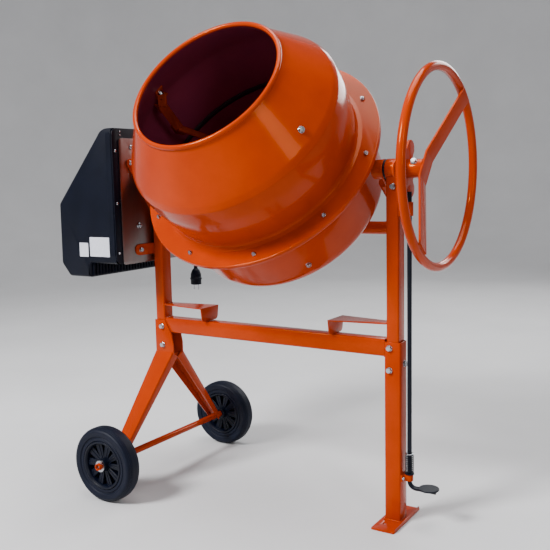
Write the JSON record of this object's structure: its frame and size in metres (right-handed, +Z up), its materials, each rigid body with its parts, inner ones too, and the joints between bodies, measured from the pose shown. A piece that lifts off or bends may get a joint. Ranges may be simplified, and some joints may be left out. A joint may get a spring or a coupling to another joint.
{
  "type": "concrete mixer",
  "caption": "Upright concrete mixer with a tilting drum driven by a belt and crown gear, a tilting handwheel with a sprung pedal lock, a motor case, a stand and transport wheels.",
  "frame": {"origin": "bottom centre of the mixer's bounding box on the ground, measured without the mains lead and its plug", "axes": "+Z up; +X towards the handwheel and foot plate side, away from the motor case; -Y towards the side the drum's mouth leans to; the wheel axle runs along Y"},
  "size_m": [1.1892, 0.7436, 1.3314],
  "materials": {
    "orange_paint": "gloss",
    "black_plastic": "satin",
    "black_rubber": "matte",
    "zinc": "zinc plated",
    "cast": "as cast, machined teeth",
    "black_steel": "black coated",
    "steel_plate": "rolled sheet",
    "motor_paint": "satin grey",
    "green_plastic": "gloss",
    "red_plastic": "gloss",
    "tyre": "moulded rubber"
  },
  "bodies": {
    "frame": {"upright_left": "orange_paint", "upright_right": "orange_paint", "cross_beam": "orange_paint", "support_leg": "orange_paint", "foot_plate": "orange_paint", "side_rest_left": "orange_paint", "side_rest_right": "orange_paint", "bearing_housing_left": "orange_paint", "bearing_housing_right": "orange_paint", "trunnion_bush_left": "black_plastic", "trunnion_bush_right": "black_plastic", "stand_leg_front": "orange_paint", "stand_leg_rear": "orange_paint", "stand_spacer": "orange_paint", "axle": "orange_paint", "rod_guide_lower": "orange_paint", "rod_guide_upper": "orange_paint", "spring_seat": "black_steel", "lock_spring": "zinc", "motor_strap_lower": "orange_paint", "motor_arms_upper": "orange_paint", "drive_plate": "steel_plate", "motor_case": "black_plastic", "case_panel": "black_plastic", "motor_mount": "steel_plate", "motor": "motor_paint", "capacitor": "steel_plate", "drive_belt": "black_rubber", "switch_box": "black_plastic", "lead_gland": "black_rubber", "mains_lead": "black_rubber", "mains_plug": "black_plastic"},
    "yoke": {"yoke": "orange_paint", "drum_stub_axle": "zinc", "handwheel_rim": "orange_paint", "handwheel_spokes": "orange_paint", "handwheel_hub": "orange_paint", "lock_disc": "orange_paint"},
    "drum": {"drum_upper": "orange_paint", "drum_gasket": "black_rubber", "drum_lower": "orange_paint", "drum_floor": "orange_paint", "ring_gear": "cast", "mixing_blade_left": "orange_paint", "mixing_blade_right": "orange_paint", "drum_hub": "cast", "drum_bearing_upper": "zinc", "drum_bearing_lower": "zinc"},
    "drive_shaft": {"drive_pulley": "cast", "pinion_shaft": "zinc", "pinion": "cast"},
    "motor_rotor": {"motor_pulley": "zinc"},
    "wheel_front": {"wheel_rim_front": "black_plastic", "tyre_front": "tyre"},
    "wheel_rear": {"wheel_rim_rear": "black_plastic", "tyre_rear": "tyre"},
    "lock": {"lock_rod": "black_steel", "spring_washer": "zinc"},
    "start": {"start_button": "green_plastic"},
    "stop": {"stop_button": "red_plastic"}
  },
  "joints": [
    {"name": "drum_tilt", "type": "hinge", "parent": "frame", "child": "yoke", "pos_m": [0.06315, 0.04177, 0.942], "axis": [1, 0, 0], "range_deg": [-60, 75]},
    {"name": "drum_spin", "type": "hinge", "parent": "yoke", "child": "drum", "pos_m": [0.06715, 0.04177, 0.942], "axis": [0, -0.7826, 0.6225], "continuous": true},
    {"name": "drive_shaft_spin", "type": "hinge", "parent": "yoke", "child": "drive_shaft", "pos_m": [-0.33685, 0.04177, 0.942], "axis": [1, 0, 0], "continuous": true},
    {"name": "motor_spin", "type": "hinge", "parent": "frame", "child": "motor_rotor", "pos_m": [-0.38685, 0.04177, 0.76], "axis": [1, 0, 0], "continuous": true},
    {"name": "wheel_front_spin", "type": "hinge", "parent": "frame", "child": "wheel_front", "pos_m": [-0.32385, -0.24823, 0.11], "axis": [0, 1, 0], "continuous": true},
    {"name": "wheel_rear_spin", "type": "hinge", "parent": "frame", "child": "wheel_rear", "pos_m": [-0.32385, 0.33177, 0.11], "axis": [0, 1, 0], "continuous": true},
    {"name": "lock_pedal", "type": "slide", "parent": "frame", "child": "lock", "axis": [0, 0, -1], "range_m": [0, 0.024], "stiffness_N_per_m": 400, "springref_m": -0.02, "deforming": ["lock_spring"]},
    {"name": "start_press", "type": "slide", "parent": "frame", "child": "start", "axis": [0, -1, 0], "range_m": [0, 0.003], "stiffness_N_per_m": 600},
    {"name": "stop_press", "type": "slide", "parent": "frame", "child": "stop", "axis": [0, -1, 0], "range_m": [0, 0.003], "stiffness_N_per_m": 600}
  ],
  "couplings": [
    {"joint": "drive_shaft_spin", "follows": "drum_spin", "ratio": 9},
    {"joint": "motor_spin", "follows": "drum_spin", "ratio": 102.27}
  ]
}
